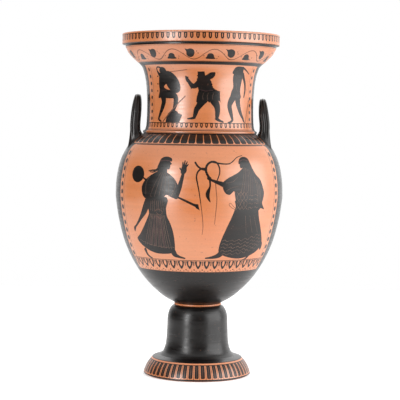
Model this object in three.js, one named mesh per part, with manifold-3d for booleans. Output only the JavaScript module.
// A black-figure krater of fired clay: a wide flaring mouth on a tall neck, an ovoid body,
// two upright ribbed loop handles on the shoulder, and a bell-shaped pedestal on a round foot.
// The potter throws foot, body and neck apart and joins them wet, so the fired pot is one solid.
// Millimetres, +Z up. The origin is the centre of the ring that the pot rests on, and the
// painted front faces -Y, with a handle at +X and one at -X.
import * as THREE from "three";
import { mergeVertices } from "three/addons/utils/BufferGeometryUtils.js";
import Module from "manifold-3d";

// ---- Driving dimensions -------------------------------------------------------------------

const SIDES = 48; // facets round the pot
const HEIGHT = 604; // rim above the ground
const WALL = 6.5; // thickness of the thrown wall

// Foot: a round plate with a swelling edge.
const FOOT_RADIUS = 95.2;
const FOOT_EDGE_TOP = { r: 79.4, z: 31 };
const FOOT_CHAMFER = 2.5; // the turned-back lower corner
const REST_RING = { inner: 78, outer: 91.5 }; // the flat that touches the ground

// Stem: a bell that stands on the foot, closed at its top by a raised ring.
const STEM_RADIUS = 54.3;
const STEM_FLARE = { r: 67, z: 35 }; // where the bell meets the foot
const STEM_SHOULDER = 96; // where the bell starts to close
const RING = { r: 40.4, bulge: 1.5, bottom: 124.2, top: 127.8 };

// Body.
const BODY = { r: 148.2, z: 327 }; // the widest place
const SHOULDER_END = { r: 101, z: 428.6 };

// Neck and the ridge at its base.
const NECK_RIDGE = { r: 99.4, bulge: 1.7, top: 434.2 };
const NECK_RADIUS = 94.3;
const NECK_TOP = { r: 108.2, z: 551.2 };

// Mouth: a swelling echinus under an upright lip.
const ECHINUS_TOP = { r: 133.4, z: 580.6 };
const LIP = { r: 139.2, bottom: 585, inner: 123.5 };
const LIP_ROUND = 1.8; // rounding of the lip's upper corners

// Handles: a ribbed strap bent into an upright arch beside the neck, its roots spread over
// the shoulder. X is the distance of the strap's centreline from the pot's axis.
const HANDLE = {
  halfSpan: 27, // half the distance between the legs' centrelines
  root: { x: 113.6, z: 389, width: 29, thickness: 24 }, // ends inside the shoulder's wall
  leg: { x: 114.8, z: 446, width: 16, thickness: 11.8 },
  crown: { x: 110.8, z: 493, width: 11.4, thickness: 10.6 },
  ribs: 3, // along the outer face
  ribDepth: 1.1,
};

// ---- Outline ------------------------------------------------------------------------------

const point = (r, z) => new THREE.Vector2(r, z);
const spline = (...places) => new THREE.SplineCurve(places.map(([r, z]) => point(r, z)));
const arc = (r, z, radiusR, radiusZ, from, to) =>
  new THREE.EllipseCurve(r, z, radiusR, radiusZ, from, to, from > to);

// The stretches of the outline in order, each as [curve or corner, steps].
function footOutline() {
  const swell = spline(
    [FOOT_RADIUS, FOOT_CHAMFER],
    [FOOT_RADIUS - 2.2, 10.5],
    [FOOT_RADIUS - 7.6, 21],
    [FOOT_EDGE_TOP.r, FOOT_EDGE_TOP.z],
  );
  return [
    [point(REST_RING.inner, 0), 0],
    [point(REST_RING.outer, 0), 0],
    [swell, 3],
    [point(STEM_FLARE.r + 4, STEM_FLARE.z - 1.4), 0],
  ];
}

function stemOutline() {
  const bell = spline(
    [STEM_FLARE.r, STEM_FLARE.z],
    [STEM_FLARE.r - 6.8, 41.5],
    [STEM_RADIUS + 1.6, 56],
    [STEM_RADIUS, 79],
    [STEM_RADIUS - 0.5, STEM_SHOULDER],
  );
  const crown = arc(RING.r - 0.6, STEM_SHOULDER, STEM_RADIUS + 0.1 - RING.r,
    RING.bottom - STEM_SHOULDER, 0, Math.PI / 2);
  const middle = (RING.bottom + RING.top) / 2;
  const ring = arc(RING.r, middle, RING.bulge, (RING.top - RING.bottom) / 2, -Math.PI / 2, Math.PI / 2);
  return [[bell, 5], [crown, 4], [ring, 2]];
}

function bodyOutline() {
  const belly = spline(
    [RING.r - 0.2, RING.top + 0.4],
    [48, 131.8],
    [64.8, 142.2],
    [82.6, 158.4],
    [100.9, 179.6],
    [117.8, 206.6],
    [132, 238.8],
    [142, 276.4],
    [147.4, 310],
    [BODY.r, BODY.z],
    [146.8, 350.4],
    [141, 378.6],
    [131.3, 400.2],
    [119.6, 416.8],
    [110, 424.2],
    [SHOULDER_END.r, SHOULDER_END.z],
  );
  return [[belly, 17]];
}

function neckOutline() {
  const middle = (SHOULDER_END.z + 0.6 + NECK_RIDGE.top) / 2;
  const half = (NECK_RIDGE.top - SHOULDER_END.z - 0.6) / 2;
  const ridge = arc(NECK_RIDGE.r, middle, NECK_RIDGE.bulge, half, -Math.PI / 2, Math.PI / 2);
  const neck = spline(
    [NECK_RIDGE.r - 1.2, NECK_RIDGE.top + 0.4],
    [95.6, 441.6],
    [NECK_RADIUS, 463],
    [94.5, 492],
    [97, 522],
    [102.4, 543.2],
    [NECK_TOP.r, NECK_TOP.z],
  );
  return [[ridge, 2], [neck, 6]];
}

function mouthOutline() {
  const echinus = spline(
    [NECK_TOP.r + 1.4, NECK_TOP.z + 1.2],
    [117.8, 559.4],
    [127.8, 570],
    [ECHINUS_TOP.r, ECHINUS_TOP.z],
  );
  const corner = (r, side) =>
    arc(r - side * LIP_ROUND, HEIGHT - LIP_ROUND, LIP_ROUND, LIP_ROUND,
      side > 0 ? 0 : Math.PI / 2, side > 0 ? Math.PI / 2 : Math.PI);
  return [
    [echinus, 4],
    [point(ECHINUS_TOP.r + 0.4, LIP.bottom - 0.6), 0],
    [point(LIP.r - 1, LIP.bottom), 0],
    [corner(LIP.r, 1), 1],
    [corner(LIP.inner, -1), 1],
  ];
}

// The hollow, from the lip down to the floor over the stem.
function insideOutline() {
  const mouth = spline(
    [LIP.inner, HEIGHT - 8],
    [LIP.inner - 1.5, 581],
    [117.5, 570],
    [106.5, 557.5],
    [97, 545],
    [90.5, 522],
    [NECK_RADIUS - WALL, 490],
    [NECK_RADIUS - WALL, 461],
    [89.5, 439.5],
  );
  const belly = spline(
    [93.5, 429.6],
    [103, 419.6],
    [118, 406.4],
    [129.5, 387],
    [138.5, 358.4],
    [BODY.r - WALL, BODY.z],
    [137, 283],
    [125.2, 241.8],
    [108.5, 207.6],
    [88, 178.4],
    [64, 154.4],
    [34, 139.4],
    [0, 135.4],
  );
  return [[mouth, 6], [belly, 9]];
}

// The hollow bell under the foot, from its top down to the resting ring.
function underOutline() {
  const dome = arc(0, STEM_SHOULDER - 5, STEM_RADIUS - WALL - 0.6, 27, Math.PI / 2, 0);
  const skirt = spline(
    [STEM_RADIUS - WALL, 62],
    [STEM_RADIUS - WALL + 3.5, 42],
    [60, 26],
    [72, 12],
    [REST_RING.inner - 2, 3],
  );
  return [[dome, 3], [skirt, 3]];
}

function outline() {
  const stretches = [
    underOutline(), footOutline(), stemOutline(), bodyOutline(),
    neckOutline(), mouthOutline(), insideOutline(),
  ].flat();
  return stretches.flatMap(([shape, steps]) => (steps ? shape.getPoints(steps) : [shape]));
}

// ---- Solids -------------------------------------------------------------------------------

const wasm = await Module();
wasm.setup();

function toSolid(geometry) {
  for (const name of ["normal", "uv"]) geometry.deleteAttribute(name);
  const merged = mergeVertices(geometry, 1e-3);
  const corners = Array.from(merged.index.array);
  const triVerts = [];
  for (let i = 0; i < corners.length; i += 3) {
    const [a, b, c] = corners.slice(i, i + 3);
    if (a !== b && b !== c && c !== a) triVerts.push(a, b, c);
  }
  const vertProperties = merged.attributes.position.array;
  return new wasm.Manifold(
    new wasm.Mesh({ numProp: 3, vertProperties, triVerts: new Uint32Array(triVerts) }),
  );
}

function toGeometry(solid) {
  const mesh = solid.getMesh();
  return new THREE.BufferGeometry()
    .setAttribute("position", new THREE.BufferAttribute(mesh.vertProperties, mesh.numProp))
    .setIndex(new THREE.BufferAttribute(mesh.triVerts, 1));
}

function pot() {
  const turned = new THREE.LatheGeometry(outline(), SIDES);
  turned.rotateX(Math.PI / 2);
  return toSolid(turned);
}

// The strap's section: flat towards the arch's middle, with round ribs on its outer face.
// x runs across the strap from 1 to -1, and y from 0 on the inner face to 1 on the ribs.
function strapSection() {
  const steps = HANDLE.ribs * 2;
  const outer = Array.from({ length: steps + 1 }, (_, i) => {
    const across = 1 - (2 * i) / steps;
    const rib = Math.abs(Math.sin((Math.PI * HANDLE.ribs * i) / steps));
    const edge = 1 - across ** 4;
    const groove = (HANDLE.ribDepth / HANDLE.leg.thickness) * (1 - rib) * edge;
    return point(across, 0.5 + 0.5 * edge - groove);
  });
  return [...outer, point(-0.82, 0.12), point(0, 0), point(0.82, 0.12)];
}

// The strap's centreline on the +X side, from the front leg's root over the crown to the back.
function archCurve() {
  const { halfSpan, root, leg, crown } = HANDLE;
  const half = (side) => [
    new THREE.Vector3(root.x, side * (halfSpan + 3.5), root.z),
    new THREE.Vector3(root.x + 0.9, side * (halfSpan + 2), root.z + 26),
    new THREE.Vector3(leg.x, side * halfSpan, leg.z),
    new THREE.Vector3((leg.x + crown.x) / 2, side * (halfSpan - 2.2), crown.z - 22),
    new THREE.Vector3(crown.x + 0.4, side * (halfSpan - 12.5), crown.z - 5.2),
  ];
  const top = new THREE.Vector3(crown.x, 0, crown.z);
  return new THREE.CatmullRomCurve3([...half(-1), top, ...half(1).reverse()]);
}

// The strap's width or thickness at a share of the way down from the crown to a root.
function strapSize(key, down) {
  const { crown, leg, root } = HANDLE;
  const arch = THREE.MathUtils.smoothstep(down, 0, 0.5);
  const spread = THREE.MathUtils.smoothstep(down, 0.5, 0.84);
  const size = THREE.MathUtils.lerp(crown[key], leg[key], arch);
  return THREE.MathUtils.lerp(size, root[key], spread);
}

function handle(side) {
  const steps = 20;
  const curve = archCurve();
  const section = strapSection();
  const across = new THREE.Vector3(1, 0, 0);
  const rings = Array.from({ length: steps + 1 }, (_, i) => {
    const centre = curve.getPointAt(i / steps);
    const along = curve.getTangentAt(i / steps);
    const outward = new THREE.Vector3().crossVectors(across, along).normalize();
    const down = Math.abs((2 * i) / steps - 1);
    return section.map(({ x, y }) =>
      centre.clone()
        .addScaledVector(across, (x * strapSize("width", down)) / 2)
        .addScaledVector(outward, (y - 0.5) * strapSize("thickness", down)));
  });
  const count = section.length;
  const middleOf = (ring) =>
    ring.reduce((sum, p) => sum.add(p), new THREE.Vector3()).divideScalar(count);
  const places = [...rings.flat(), middleOf(rings[0]), middleOf(rings[steps])];
  const [firstMiddle, lastMiddle] = [places.length - 2, places.length - 1];
  const faces = [];
  for (let j = 0; j < count; j++) {
    const next = (j + 1) % count;
    for (let i = 0; i < steps; i++) {
      const [a, b] = [i * count + j, i * count + next];
      faces.push(a, b + count, b, a, a + count, b + count);
    }
    faces.push(firstMiddle, j, next, lastMiddle, steps * count + next, steps * count + j);
  }
  const geometry = new THREE.BufferGeometry().setFromPoints(places).setIndex(faces);
  if (side < 0) geometry.rotateZ(Math.PI);
  return toSolid(geometry);
}

// The hollow of body and neck, which takes the handles' roots back to the inner wall.
function hollow() {
  const inside = insideOutline().flatMap(([curve, steps]) => curve.getPoints(steps));
  const profile = [point(0, HEIGHT + 1), point(LIP.inner, HEIGHT + 1), ...inside].reverse();
  const turned = new THREE.LatheGeometry(profile, SIDES);
  turned.rotateX(Math.PI / 2);
  return toSolid(turned);
}

// ---- The part -----------------------------------------------------------------------------

const handles = handle(1).add(handle(-1)).subtract(hollow());
const firedClay = new THREE.MeshStandardMaterial({
  color: 0xc97a4e,
  roughness: 0.32,
  metalness: 0,
});

const krater = new THREE.Mesh(toGeometry(pot().add(handles)), firedClay);
krater.name = "krater";

const part = new THREE.Group();
part.add(krater);
export default part;
